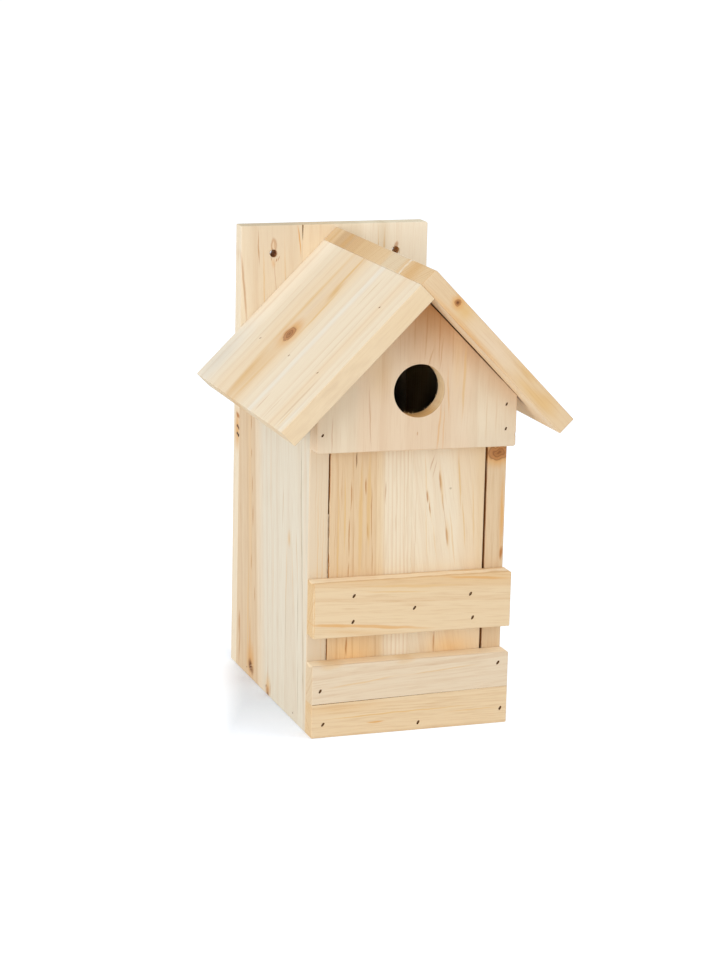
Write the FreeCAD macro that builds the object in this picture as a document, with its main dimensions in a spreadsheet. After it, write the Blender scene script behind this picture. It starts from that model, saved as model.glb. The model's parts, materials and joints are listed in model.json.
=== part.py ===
"""Nest box of thin softwood boards, nailed together with brads.

A tall back panel carries two side panels and a floor. A pentagonal gable with the entrance
hole closes the top of the front, two roof boards lap at the ridge, and a front door stands
between the sides. Its foot drops behind a cleat across the base, so it is lifted to come out.

Millimetres, +Z up, the front towards -Y, the origin under the middle of the whole box.
"""
import FreeCAD, Part
import os
import Sketcher

SIZES = {
    # Carcass
    "box_width": 125.0,
    "side_depth": 147.0,
    "wall_board": 12.0,
    "back_height": 287.0,
    "back_stave": 40.5,
    "back_corner": 1.5,
    # Roof, its height measured to the line where the two undersides meet
    "roof_board": 12.0,
    "roof_pitch": 45.0,
    "roof_slope": 116.8,
    "roof_overhang": 21.5,
    "ridge_height": 268.0,
    "ridge_round": 1.5,
    # The right board lies a little steeper, and its underside stands off the gable at the ridge
    "right_pitch": 45.7,
    "right_lift": 1.3,
    # Gable, its bottom left corner measured down from the ridge, and the entrance up from that corner.
    # It hangs a little lower at the right, and stands out a little there.
    "gable_bottom": 93.0,
    "gable_slant": 1.4,
    "gable_run": 0.6,
    "gable_corner": 1.5,
    "entrance_diameter": 32.0,
    "entrance_height": 35.1,
    "entrance_offset": 0.7,
    # Door that lifts out
    "door_gap_left": 0.9,
    "door_gap_right": 1.6,
    "door_overlap": 8.0,
    "door_stave": 52.0,
    # Cleats across the front, a little longer than the box is wide; the door's is nailed on askew
    "cleat_board": 12.0,
    "door_cleat_bottom": 62.0,
    "door_cleat_height": 33.5,
    "door_cleat_run": 1.0,
    "door_cleat_slant": 0.7,
    "base_cleat_height": 45.0,
    "base_cleat_run": 0.8,
    "base_seam_left": 21.0,
    "base_seam_right": 23.4,
    # Wall screws
    "mount_spacing": 82.0,
    "mount_diameter": 5.0,
    "mount_drop": 18.0,
    # Eased edges
    "arris": 0.4,
    # Brads of flat wire with a T head
    "brad_length": 25.0,
    "door_brad_length": 20.0,
    "brad_wire_width": 1.25,
    "brad_wire_depth": 1.0,
    "brad_head_width": 2.2,
    "brad_head_depth": 1.25,
    "brad_head_height": 0.6,
    "brad_turn": 55.0,
    # Brads in the gable, measured down from its left corner under the roof
    "gable_brad_left": 3.6,
    "gable_brad_right": 6.1,
    "gable_brad_low": 19.5,
    "gable_brad_high": 4.5,
    # Brads in the door cleat
    "door_brad_left_low_in": 25.0,
    "door_brad_left_high_in": 25.3,
    "door_brad_right_low_in": 23.5,
    "door_brad_right_high_in": 25.3,
    "door_brad_left_low": 9.2,
    "door_brad_left_high": 25.2,
    "door_brad_offset": 1.4,
    "door_brad_centre": 15.2,
    "door_brad_right_low": 6.5,
    "door_brad_right_high": 21.5,
    # Brads in the base cleat
    "base_brad_left_upper": 5.2,
    "base_brad_left_lower": 7.3,
    "base_brad_right_upper": 5.9,
    "base_brad_right_lower": 3.5,
    "base_brad_left_high": 29.4,
    "base_brad_left_low": 8.4,
    "base_brad_right_high": 38.6,
    "base_brad_right_low": 9.4,
    "base_brad_offset": 5.7,
    "base_brad_floor": 4.7,
    # Brads in the roof
    "roof_brad_front": 46.5,
    "roof_brad_rear": 41.5,
    "roof_brad_setback": 3.0,
    "roof_brad_ridge": 19.2,
    "ridge_brad_inset": 25.0,
    # Brads in the back and the floor
    "back_brad_low": 30.0,
    "back_brad_pitch": 75.0,
    "floor_brad_inset": 24.5,
    "floor_brad_height": 5.0,
}

# Places that several pieces share
HALF = "(Sizes.box_width / 2)"
INNER = "(Sizes.box_width / 2 - Sizes.wall_board)"
SIDE_MIDDLE = "(Sizes.box_width / 2 - Sizes.wall_board / 2)"
BACK_REAR = "((Sizes.side_depth + 2 * Sizes.wall_board + Sizes.roof_overhang) / 2)"
BACK_FACE = f"({BACK_REAR} - Sizes.wall_board)"
FRONT = f"({BACK_FACE} - Sizes.side_depth)"
GABLE_FACE = f"({FRONT} - Sizes.wall_board)"
CLEAT_FACE = f"({FRONT} - Sizes.cleat_board)"
ROOF_LENGTH = "(Sizes.side_depth + Sizes.wall_board + Sizes.roof_overhang)"
ROOF_FRONT = f"({BACK_FACE} - {ROOF_LENGTH})"
PITCH = "(Sizes.roof_pitch * 1 deg)"
RIGHT_PITCH = "(Sizes.right_pitch * 1 deg)"
BOTH_SLOPES = f"(tan({PITCH}) + tan({RIGHT_PITCH}))"
DOOR_LEFT = f"(-{INNER} + Sizes.door_gap_left)"
DOOR_RIGHT = f"({INNER} - Sizes.door_gap_right)"
DOOR_SEAM = f"({DOOR_LEFT} + Sizes.door_stave)"
GABLE_BOTTOM = "(Sizes.ridge_height - Sizes.gable_bottom)"
DOOR_TOP = f"({GABLE_BOTTOM} + Sizes.door_overlap)"
BACK_SEAM = f"(-{HALF} + Sizes.back_stave)"
LAP = f"((Sizes.right_lift - Sizes.roof_board / cos({PITCH})) / {BOTH_SLOPES})"
MOUNT_HEIGHT = "(Sizes.back_height - Sizes.mount_drop)"
BRAD_TURN = "(Sizes.brad_turn * 1 deg)"
SQUARE = "90 deg"

X_AXIS = FreeCAD.Vector(1, 0, 0)
Y_AXIS = FreeCAD.Vector(0, 1, 0)
Z_AXIS = FreeCAD.Vector(0, 0, 1)

doc = FreeCAD.newDocument("NestBox")
sheet = doc.addObject("Spreadsheet::Sheet", "Sizes")
for row, (alias, size) in enumerate(SIZES.items(), start=1):
    sheet.set(f"A{row}", alias)
    sheet.set(f"B{row}", str(size))
    sheet.setAlias(f"B{row}", alias)
doc.recompute()

nodes = []


def under_left(across):
    """Height of the left roof board's underside at a distance left of the ridge line."""
    return f"(Sizes.ridge_height - {across} * tan({PITCH}))"


def under_right(across):
    """Height of the right roof board's underside at a distance right of the ridge line."""
    return f"(Sizes.ridge_height + Sizes.right_lift - {across} * tan({RIGHT_PITCH}))"


def plane_of(body, role):
    """One of a body's own origin planes."""
    return next(item for item in body.Origin.OriginFeatures if item.Role == role)


def front_sketch(body, name):
    """Empty sketch on the body's upright plane that faces the front."""
    sketch = body.newObject("Sketcher::SketchObject", name)
    sketch.AttachmentSupport = [(plane_of(body, "XZ_Plane"), "")]
    sketch.MapMode = "FlatFace"
    return sketch


def place_point(sketch, line, point, across, up):
    """Hold one point of a sketch at the two expressions."""
    for kind, expression in (("DistanceX", across), ("DistanceY", up)):
        index = sketch.addConstraint(Sketcher.Constraint(kind, -1, 1, line, point, 1.0))
        sketch.setExpression(f"Constraints[{index}]", expression)


def board(label, corners, rear, length):
    """Board with the given outline seen from the front, reaching forward from its rear face."""
    body = doc.addObject("PartDesign::Body", label)
    sketch = front_sketch(body, f"{label}_outline")
    count = len(corners)
    ring = [FreeCAD.Rotation(Z_AXIS, 360 * i / count).multVec(X_AXIS) for i in range(count)]
    for i in range(count):
        sketch.addGeometry(Part.LineSegment(ring[i], ring[(i + 1) % count]), False)
    for i in range(count):
        sketch.addConstraint(Sketcher.Constraint("Coincident", i, 2, (i + 1) % count, 1))
    for i, (across, up) in enumerate(corners):
        place_point(sketch, i, 1, across, up)
    pad = body.newObject("PartDesign::Pad", f"{label}_pad")
    pad.Profile = sketch
    pad.setExpression("Length", length)
    body.setExpression("Placement.Base.y", rear)
    nodes.append(body)
    doc.recompute()
    return body


def drill(body, across, up, diameter):
    """Round hole right through a board, from its front face to its rear."""
    sketch = front_sketch(body, f"{body.Name}_drill")
    circle = sketch.addGeometry(Part.Circle(FreeCAD.Vector(0, 0, 0), Z_AXIS, 1.0), False)
    place_point(sketch, circle, 3, across, up)
    index = sketch.addConstraint(Sketcher.Constraint("Diameter", circle, 2.0))
    sketch.setExpression(f"Constraints[{index}]", diameter)
    whole = body.Shape.Volume
    pocket = body.newObject("PartDesign::Pocket", f"{body.Name}_hole")
    pocket.Profile = sketch
    pocket.Type = "ThroughAll"
    pocket.Reversed = True
    doc.recompute()
    if body.Shape.Volume >= whole:
        raise RuntimeError(f"{body.Name}: the hole cuts nothing")


def edge_names(body, chosen):
    """Names of the straight or rounded edges, hole rims apart, that a test picks."""
    shape = body.Tip.Shape
    return [f"Edge{i}" for i, edge in enumerate(shape.Edges, start=1)
            if not edge.isClosed() and chosen(edge, shape.BoundBox)]


def runs_back(edge):
    """True for an edge that runs from front to back."""
    return edge.tangentAt(edge.FirstParameter).cross(Y_AXIS).Length < Part.Precision.confusion()


def round_corners(body, radius, chosen):
    """Round the picked edges of a board that run from front to back."""
    names = edge_names(body, lambda edge, box: runs_back(edge) and chosen(edge.CenterOfMass, box))
    base = body.Tip
    fillet = body.newObject("PartDesign::Fillet", f"{body.Name}_corner")
    fillet.Base = (base, names)
    fillet.setExpression("Radius", radius)
    doc.recompute()


def ease(body, seam=None):
    """Take the sharpness off a board's edges, other than those of a glued seam.

    The seam is the way from the board's middle to it.
    """
    def free(edge, box):
        if seam is None:
            return True
        return any((vertex.Point - box.Center).dot(seam) < 0 for vertex in edge.Vertexes)

    names = edge_names(body, free)
    base = body.Tip
    chamfer = body.newObject("PartDesign::Chamfer", f"{body.Name}_arris")
    chamfer.Base = (base, names)
    chamfer.setExpression("Size", "Sizes.arris")
    doc.recompute()


def rectangle(left, right, bottom, top):
    """Corners of an upright board."""
    return [(left, bottom), (right, bottom), (right, top), (left, top)]


def make_back():
    """Back panel of two glued staves, each with one screw hole, above the roof."""
    left = board("back_left_stave", rectangle(f"-{HALF}", BACK_SEAM, "0", "Sizes.back_height"),
                 BACK_REAR, "Sizes.wall_board")
    drill(left, "-Sizes.mount_spacing / 2", MOUNT_HEIGHT, "Sizes.mount_diameter")
    ease(left, X_AXIS)
    right = board("back_right_stave", rectangle(BACK_SEAM, HALF, "0", "Sizes.back_height"),
                  BACK_REAR, "Sizes.wall_board")
    drill(right, "Sizes.mount_spacing / 2", MOUNT_HEIGHT, "Sizes.mount_diameter")
    round_corners(right, "Sizes.back_corner",
                  lambda middle, box: middle.z > box.Center.z and middle.x > box.Center.x)
    ease(right, -X_AXIS)


def make_sides():
    """Side panels, their tops bevelled to the roof, and the floor between them."""
    for label, sign, under_roof in (("left_side", "-", under_left), ("right_side", "", under_right)):
        corners = [(f"{sign}{HALF}", "0"), (f"{sign}{INNER}", "0"),
                   (f"{sign}{INNER}", under_roof(INNER)), (f"{sign}{HALF}", under_roof(HALF))]
        ease(board(label, corners, BACK_FACE, "Sizes.side_depth"))
    floor = board("floor", rectangle(f"-{INNER}", INNER, "0", "Sizes.wall_board"),
                  BACK_FACE, "Sizes.side_depth")
    ease(floor)


def make_gable():
    """Pentagonal front with the entrance hole, tight under the left roof board only.

    The gap under the right one runs out at the gable's right corner.
    """
    right = f"({HALF} + Sizes.gable_run)"
    corners = [(f"-{HALF}", GABLE_BOTTOM), (right, f"{GABLE_BOTTOM} - Sizes.gable_slant"),
               (right, under_right(right)), ("0", "Sizes.ridge_height"), (f"-{HALF}", under_left(HALF))]
    gable = board("gable_front", corners, FRONT, "Sizes.wall_board")
    drill(gable, "Sizes.entrance_offset", f"{GABLE_BOTTOM} + Sizes.entrance_height", "Sizes.entrance_diameter")
    round_corners(gable, "Sizes.gable_corner",
                  lambda middle, box: middle.z < (box.ZMin + box.Center.z) / 2)
    ease(gable)


def make_door():
    """Door of two glued staves between the sides, with the cleat that is its stop and handle."""
    rear = f"({FRONT} + Sizes.wall_board)"
    left = board("door_left_stave", rectangle(DOOR_LEFT, DOOR_SEAM, "Sizes.wall_board", DOOR_TOP),
                 rear, "Sizes.wall_board")
    ease(left, X_AXIS)
    right = board("door_right_stave", rectangle(DOOR_SEAM, DOOR_RIGHT, "Sizes.wall_board", DOOR_TOP),
                  rear, "Sizes.wall_board")
    ease(right, -X_AXIS)
    cleat_right = f"{HALF} + Sizes.door_cleat_run"
    top = "Sizes.door_cleat_bottom + Sizes.door_cleat_height"
    cleat = board("door_cleat", [(f"-{HALF}", "Sizes.door_cleat_bottom"),
                                 (cleat_right, "Sizes.door_cleat_bottom - Sizes.door_cleat_slant"),
                                 (cleat_right, top), (f"-{HALF}", f"{top} + Sizes.door_cleat_slant")],
                  FRONT, "Sizes.cleat_board")
    ease(cleat)


def make_base_cleat():
    """Base cleat of two glued staves, whose seam runs a little uphill to the right."""
    seam_left = (f"-{HALF}", "Sizes.base_seam_left")
    right = f"{HALF} + Sizes.base_cleat_run"
    seam_right = (right, "Sizes.base_seam_right")
    lower = board("base_cleat_lower_stave", [(f"-{HALF}", "0"), (right, "0"), seam_right, seam_left],
                  FRONT, "Sizes.cleat_board")
    ease(lower, Z_AXIS)
    upper = board("base_cleat_upper_stave",
                  [seam_left, seam_right, (right, "Sizes.base_cleat_height"),
                   (f"-{HALF}", "Sizes.base_cleat_height")],
                  FRONT, "Sizes.cleat_board")
    ease(upper, -Z_AXIS)


def make_roof():
    """Roof boards that butt the back panel; the right one laps over the end of the left one."""
    left_run = f"Sizes.roof_slope * cos({PITCH})"
    reach = f"({left_run} + Sizes.roof_board * sin({PITCH}))"
    left_rise = f"Sizes.ridge_height - Sizes.roof_slope * sin({PITCH})"
    foot = (f"Sizes.right_lift / {BOTH_SLOPES}", under_left(f"(-Sizes.right_lift / {BOTH_SLOPES})"))
    lap = (LAP, under_right(LAP))
    left = board("roof_left", [foot, lap, (f"-{reach}", f"{left_rise} + Sizes.roof_board * cos({PITCH})"),
                               (f"-{left_run}", left_rise)],
                 BACK_FACE, ROOF_LENGTH)
    ease(left)
    thick = (f"Sizes.roof_board * sin({RIGHT_PITCH})", f"Sizes.roof_board * cos({RIGHT_PITCH})")
    right_run = f"({reach} - {thick[0]})"
    right = board("roof_right", [lap, (f"{lap[0]} + {thick[0]}", f"{lap[1]} + {thick[1]}"),
                                 (reach, f"{under_right(right_run)} + {thick[1]}"),
                                 (right_run, under_right(right_run))],
                  BACK_FACE, ROOF_LENGTH)
    round_corners(right, "Sizes.ridge_round",
                  lambda middle, box: middle.z > box.ZMax - Part.Precision.confusion())
    ease(right)


def turned_bar(name, width, depth, height, top):
    """Bar around the Z axis, turned on it, hanging down from a level."""
    bar = doc.addObject("Part::Box", name)
    bar.setExpression("Length", width)
    bar.setExpression("Width", depth)
    bar.setExpression("Height", height)
    bar.setExpression("Placement.Rotation.Angle", BRAD_TURN)
    bar.setExpression("Placement.Base.x", f"({depth} * sin({BRAD_TURN}) - {width} * cos({BRAD_TURN})) / 2")
    bar.setExpression("Placement.Base.y", f"-({width} * sin({BRAD_TURN}) + {depth} * cos({BRAD_TURN})) / 2")
    bar.setExpression("Placement.Base.z", f"{top} - ({height})")
    return bar


def brads(label, places, length="Sizes.brad_length"):
    """Group of brads: where each head lies, and the axis and angle that point its wire."""
    group = doc.addObject("Part::Compound", label)
    links = []
    for i, (x, y, z, axis, angle) in enumerate(places, start=1):
        head = turned_bar(f"{label}_{i}_head", "Sizes.brad_head_width", "Sizes.brad_head_depth",
                          "Sizes.brad_head_height", "0")
        wire = turned_bar(f"{label}_{i}_wire", "Sizes.brad_wire_width", "Sizes.brad_wire_depth",
                          f"{length} - Sizes.brad_head_height", "-Sizes.brad_head_height")
        brad = doc.addObject("Part::Fuse", f"{label}_{i}")
        brad.Base = head
        brad.Tool = wire
        brad.Placement = FreeCAD.Placement(FreeCAD.Vector(0, 0, 0), FreeCAD.Rotation(axis, 90))
        brad.setExpression("Placement.Rotation.Angle", angle)
        brad.setExpression("Placement.Base.x", x)
        brad.setExpression("Placement.Base.y", y)
        brad.setExpression("Placement.Base.z", z)
        links.append(brad)
    group.Links = links
    nodes.append(group)


def make_front_brads():
    """Brads driven from the front through the gable and the cleats."""
    def at(face, sign, inset, height):
        return (f"{sign}({HALF} - Sizes.{inset})", face, height, X_AXIS, SQUARE)

    brads("gable_brads", [at(GABLE_FACE, sign, f"gable_brad_{side}",
                             f"{under_left(HALF)} - Sizes.gable_brad_{level}{drop}")
                          for sign, side, drop in (("-", "left", ""), ("", "right", " - Sizes.gable_slant"))
                          for level in ("low", "high")])
    door = [at(CLEAT_FACE, sign, f"door_brad_{side}_{level}_in",
               f"Sizes.door_cleat_bottom + Sizes.door_brad_{side}_{level}")
            for sign, side in (("-", "left"), ("", "right"))
            for level in ("low", "high")]
    door.append(("Sizes.door_brad_offset", CLEAT_FACE, "Sizes.door_cleat_bottom + Sizes.door_brad_centre",
                 X_AXIS, SQUARE))
    brads("door_cleat_brads", door, "Sizes.door_brad_length")
    upper = [at(CLEAT_FACE, sign, f"base_brad_{side}_upper", f"Sizes.base_brad_{side}_high")
             for sign, side in (("-", "left"), ("", "right"))]
    brads("base_cleat_upper_brads", upper)
    lower = [at(CLEAT_FACE, sign, f"base_brad_{side}_lower", f"Sizes.base_brad_{side}_low")
             for sign, side in (("-", "left"), ("", "right"))]
    lower.append(("Sizes.base_brad_offset", CLEAT_FACE, "Sizes.base_brad_floor", X_AXIS, SQUARE))
    brads("base_cleat_lower_brads", lower)


def make_roof_brads():
    """Brads through each roof board into the side and the gable, leaning half the pitch."""
    gable_line = f"({GABLE_FACE} + Sizes.roof_brad_setback)"
    rows = [(SIDE_MIDDLE, f"({FRONT} + Sizes.roof_brad_front)"),
            (SIDE_MIDDLE, f"({BACK_FACE} - Sizes.roof_brad_rear)"),
            (SIDE_MIDDLE, gable_line),
            ("Sizes.roof_brad_ridge", gable_line)]
    for label, sign, axis, pitch, under_roof in (("roof_left_brads", "-", -Y_AXIS, PITCH, under_left),
                                                 ("roof_right_brads", "", Y_AXIS, RIGHT_PITCH, under_right)):
        brads(label, [(f"{sign}({across} + Sizes.roof_board * tan({pitch} / 2))", along,
                       f"{under_roof(across)} + Sizes.roof_board", axis, f"{pitch} / 2")
                      for across, along in rows])
    # Through the lap, square to the right board, into the middle of the left board's end
    middle = f"({LAP} / 2 + Sizes.right_lift / (2 * {BOTH_SLOPES}))"
    across = f"{middle} + Sizes.roof_board * sin({RIGHT_PITCH})"
    up = f"{under_right(middle)} + Sizes.roof_board * cos({RIGHT_PITCH})"
    along = [f"{ROOF_FRONT} + Sizes.ridge_brad_inset", f"({ROOF_FRONT} + {BACK_FACE}) / 2",
             f"{BACK_FACE} - Sizes.ridge_brad_inset"]
    brads("ridge_brads", [(across, y, up, Y_AXIS, RIGHT_PITCH) for y in along])


def make_carcass_brads():
    """Brads through the back into the sides and the floor, and through the sides into the floor."""
    heights = [f"Sizes.back_brad_low + {i} * Sizes.back_brad_pitch" for i in range(3)]
    back = [(f"{sign}{SIDE_MIDDLE}", BACK_REAR, z, -X_AXIS, SQUARE)
            for sign in ("-", "") for z in heights]
    back.append(("0", BACK_REAR, "Sizes.wall_board / 2", -X_AXIS, SQUARE))
    brads("back_brads", back)
    along = [f"{FRONT} + Sizes.floor_brad_inset", f"{BACK_FACE} - Sizes.floor_brad_inset"]
    brads("floor_brads", [(f"{sign}{HALF}", y, "Sizes.floor_brad_height", axis, SQUARE)
                          for sign, axis in (("-", -Y_AXIS), ("", Y_AXIS)) for y in along])


def check():
    """Stop if anything in the document failed to build."""
    for item in doc.Objects:
        if "Invalid" in item.State or "Error" in item.State:
            raise RuntimeError(f"{item.Label}: {item.State}")
    for node in nodes:
        if node.Shape.isNull() or not node.Shape.isValid():
            raise RuntimeError(f"{node.Label}: its shape is not valid")


make_back()
make_sides()
make_gable()
make_door()
make_base_cleat()
make_roof()
make_front_brads()
make_roof_brads()
make_carcass_brads()
doc.recompute()
check()

os.makedirs("parts", exist_ok=True)
for node in nodes:
    node.Shape.exportStep(f"parts/{node.Label}.step")
    print(node.Label, len(node.Shape.Solids), "solids", round(node.Shape.Volume, 1), "mm3")
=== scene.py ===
import json
import math
import random
from collections import namedtuple

import bpy
from mathutils import Matrix, Vector


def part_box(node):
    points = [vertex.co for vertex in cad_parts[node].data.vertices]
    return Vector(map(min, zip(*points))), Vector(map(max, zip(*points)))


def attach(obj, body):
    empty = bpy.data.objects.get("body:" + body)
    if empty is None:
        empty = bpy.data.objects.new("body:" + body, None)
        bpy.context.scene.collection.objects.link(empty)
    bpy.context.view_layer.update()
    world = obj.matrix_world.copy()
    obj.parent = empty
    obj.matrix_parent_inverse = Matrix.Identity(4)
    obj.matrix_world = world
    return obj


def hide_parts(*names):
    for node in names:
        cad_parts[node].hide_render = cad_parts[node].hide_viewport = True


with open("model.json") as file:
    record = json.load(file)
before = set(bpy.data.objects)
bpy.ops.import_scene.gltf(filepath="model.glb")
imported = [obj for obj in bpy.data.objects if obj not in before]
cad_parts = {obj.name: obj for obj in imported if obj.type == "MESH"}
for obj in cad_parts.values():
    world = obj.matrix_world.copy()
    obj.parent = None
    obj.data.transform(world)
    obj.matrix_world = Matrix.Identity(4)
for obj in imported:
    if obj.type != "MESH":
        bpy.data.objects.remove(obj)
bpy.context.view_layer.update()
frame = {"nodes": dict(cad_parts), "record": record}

MM = 0.001
# Rise and run of the left roof board, which lies at 45 degrees, for a length of one
SLOPE = math.sqrt(0.5)

# The photograph's camera, in millimetres: it stands left of the box and looks a little down.
CAMERA_PLACE = (-555.5, -1567.4, 530.7)
CAMERA_AIM = (-31.0, -62.75, 155.1)
CAMERA_ROLL = 1.33
CAMERA_LENS = 103.3

# Tones of planed fir, from sapwood to the heart of a knot, and one tone of painted light
TONES = {
    "milk": "#F8ECD6",
    "chalk": "#EDE4D3",
    "ash": "#E0D8C8",
    "pale": "#E2D9C6",
    "cream": "#EEDFC5",
    "oat": "#E5D3B8",
    "butter": "#EDD9BA",
    "wheat": "#E8D0AB",
    "peach": "#EBD3AF",
    "blush": "#E6CFB2",
    "tan": "#DDC4A2",
    "straw": "#E3C8A2",
    # Painted light, for faces that the lamps leave too dark
    "sawn": "#FFE4B8",
    "glow": "#F4CD96",
    "honey": "#E4C497",
    "gold": "#E0BA80",
    "amber": "#DCA35A",
    "ochre": "#C08444",
    "olive": "#A08A64",
    "rust": "#B5763A",
    "knot": "#AC6E42",
    "heart": "#5A2F18",
    "resin": "#784318",
    "bark": "#3E2415",
}
LATEWOOD, FIBRE_SHADE = "#D9B386", "#D8BB98"
FIBRE_WIDE, FIBRE_LONG = 0.8, 20

# Marks in the wood, among them painted shade and painted light, in millimetres across the grain, along it and
# into the board, with their lean in degrees.
# A streak has a firm edge and a stain fades from its middle. A mark goes right through the board unless its
# reach says otherwise. Marks no wider than FINE_MARK lie on the grain, broader ones under it.
THROUGH = 1e4
Streak = namedtuple("Streak", "across along wide tall tone strength lean soft depth reach",
                    defaults=(0.0, 0.3, 0.0, THROUGH))
Stain = namedtuple("Stain", Streak._fields, defaults=(0.0, 0.0, 0.0, THROUGH))
Knot = namedtuple("Knot", "across along wide tall depth reach heart", defaults=(0.0, THROUGH, 0.3))
FINE_MARK = 5

# The way across the grain and the way along it, for boards that face each way
FRONT = ((1, 0, 0), (0, 0, 1))
LEFT = ((0, -1, 0), (0, 0, 1))
RIGHT = ((0, 1, 0), (0, 0, 1))
LEVEL = ((0, 0, 1), (1, 0, 0))
LYING = ((1, 0, 0), (0, 1, 0))
LEFT_SLOPE = ((0, -1, 0), (SLOPE, 0, SLOPE))


def broad_face(name, way):
    """Outward normal of the broad face of a board that looks about a given way."""
    faces = [face for face in frame["nodes"][name].data.polygons if face.normal.dot(Vector(way)) > 0.9]
    return max(faces, key=lambda face: face.area).normal.copy()


# The right roof board lies a little steeper than the left one.
RIGHT_OUT = broad_face("roof_right", (SLOPE, 0, SLOPE))
RIGHT_SLOPE = ((0, -1, 0), (RIGHT_OUT.z, 0, -RIGHT_OUT.x))


def linear(text):
    """Linear colour of an sRGB hex value."""
    levels = [int(text[i:i + 2], 16) / 255 for i in (1, 3, 5)]
    return (*[v / 12.92 if v <= 0.04045 else ((v + 0.055) / 1.055) ** 2.4 for v in levels], 1.0)


def node(tree, kind, inputs=None, **settings):
    """Add a node with its settings, and link or set its inputs."""
    made = tree.nodes.new(kind)
    for key, value in settings.items():
        setattr(made, key, value)
    for key, value in (inputs or {}).items():
        if isinstance(value, bpy.types.NodeSocket):
            tree.links.new(value, made.inputs[key])
        else:
            made.inputs[key].default_value = value
    return made


def new_material(name):
    """Material with its node tree and its shader."""
    material = bpy.data.materials.new(name)
    material.use_nodes = True
    return material, material.node_tree, material.node_tree.nodes["Principled BSDF"]


def tint(tree, colour, mask, tone, blend="MIX"):
    """Colour with a tone laid over it where the mask is."""
    mixed = node(tree, "ShaderNodeMix", {0: mask, 6: colour, 7: linear(tone)},
                 data_type="RGBA", blend_type=blend)
    return mixed.outputs[2]


def from_mark(tree, place, mark, lean=0.0):
    """Distance from the middle of an oval mark, which is 1 at its edge."""
    local = node(tree, "ShaderNodeMapping",
                 {"Vector": place, "Location": (mark.across, mark.along, mark.depth),
                  "Scale": (mark.wide / 2, mark.tall / 2, mark.reach),
                  "Rotation": (0, 0, math.radians(lean))}, vector_type="TEXTURE")
    return node(tree, "ShaderNodeVectorMath", {0: local.outputs[0]}, operation="LENGTH").outputs["Value"]


def fade(tree, distance, outer, inner, strength):
    """Mask that is full inside one distance and fades out at another."""
    return node(tree, "ShaderNodeMapRange", {"Value": distance, "From Min": outer, "From Max": inner,
                                             "To Min": 0.0, "To Max": strength},
                interpolation_type="SMOOTHSTEP").outputs[0]


def grain_place(tree, axes, origin):
    """Millimetres across the grain, along it and out of the board, from the board's own origin."""
    across, along = (Vector(axis) for axis in axes)
    turn = Matrix((across, along, across.cross(along)))
    where = node(tree, "ShaderNodeTexCoord").outputs["Object"]
    return node(tree, "ShaderNodeMapping",
                {"Vector": where, "Rotation": turn.to_euler(), "Scale": (1 / MM,) * 3,
                 "Location": -(turn @ Vector(origin))}).outputs[0]


def wandering(tree, place, seed, size, reach, shift):
    """Place pushed about by waves that have one size across the grain and another along it."""
    wide, long = size
    sized = node(tree, "ShaderNodeVectorMath",
                 {0: place, 1: (1 / wide, 1 / long, 1 / wide), 2: (seed, shift, seed)},
                 operation="MULTIPLY_ADD")
    noise = node(tree, "ShaderNodeTexNoise", {"Vector": sized.outputs[0], "Scale": 1.0, "Detail": 2.0})
    centred = node(tree, "ShaderNodeVectorMath", {0: noise.outputs["Color"], 1: (0.5, 0.5, 0.5)},
                   operation="SUBTRACT")
    return node(tree, "ShaderNodeVectorMath", {0: centred.outputs[0], 1: reach, 2: place},
                operation="MULTIPLY_ADD").outputs[0]


def bend_round(tree, place, knot):
    """Grain pushed aside by a knot, most at its middle."""
    near = fade(tree, from_mark(tree, place, knot), 3.0, 0.0, 0.8)
    aside = node(tree, "ShaderNodeVectorMath", {0: place, 1: (-1, 0, 0), 2: (knot.across, 0, 0)},
                 operation="MULTIPLY_ADD")
    across = node(tree, "ShaderNodeVectorMath", {0: aside.outputs[0], 1: (1, 0, 0)}, operation="MULTIPLY")
    push = node(tree, "ShaderNodeVectorMath", {0: across.outputs[0], "Scale": near}, operation="SCALE")
    return node(tree, "ShaderNodeVectorMath", {0: place, 1: push.outputs[0]}, operation="ADD").outputs[0]


def tones_across(tree, across, tones):
    """Tones side by side, each at its place across the board."""
    low, high = tones[0][0], tones[-1][0]
    share = node(tree, "ShaderNodeMapRange", {"Value": across, "From Min": low, "From Max": high})
    ramp = node(tree, "ShaderNodeValToRGB", {"Fac": share.outputs[0]})
    ramp.color_ramp.interpolation = "EASE"
    stops = ramp.color_ramp.elements
    for i, (at, tone) in enumerate(tones):
        stop = stops[i] if i < 2 else stops.new(1.0)
        stop.position = (at - low) / (high - low)
        stop.color = linear(TONES[tone])
    return ramp.outputs["Color"]


def cut_ends(tree, along):
    """Mask of the surfaces that cut across the fibres."""
    facing = node(tree, "ShaderNodeNewGeometry").outputs["True Normal"]
    square = node(tree, "ShaderNodeVectorMath", {0: facing, 1: along}, operation="DOT_PRODUCT")
    square = node(tree, "ShaderNodeMath", {0: square.outputs["Value"]}, operation="ABSOLUTE")
    return node(tree, "ShaderNodeMapRange",
                {"Value": square.outputs[0], "From Min": 0.6, "From Max": 0.85}).outputs[0]


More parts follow.
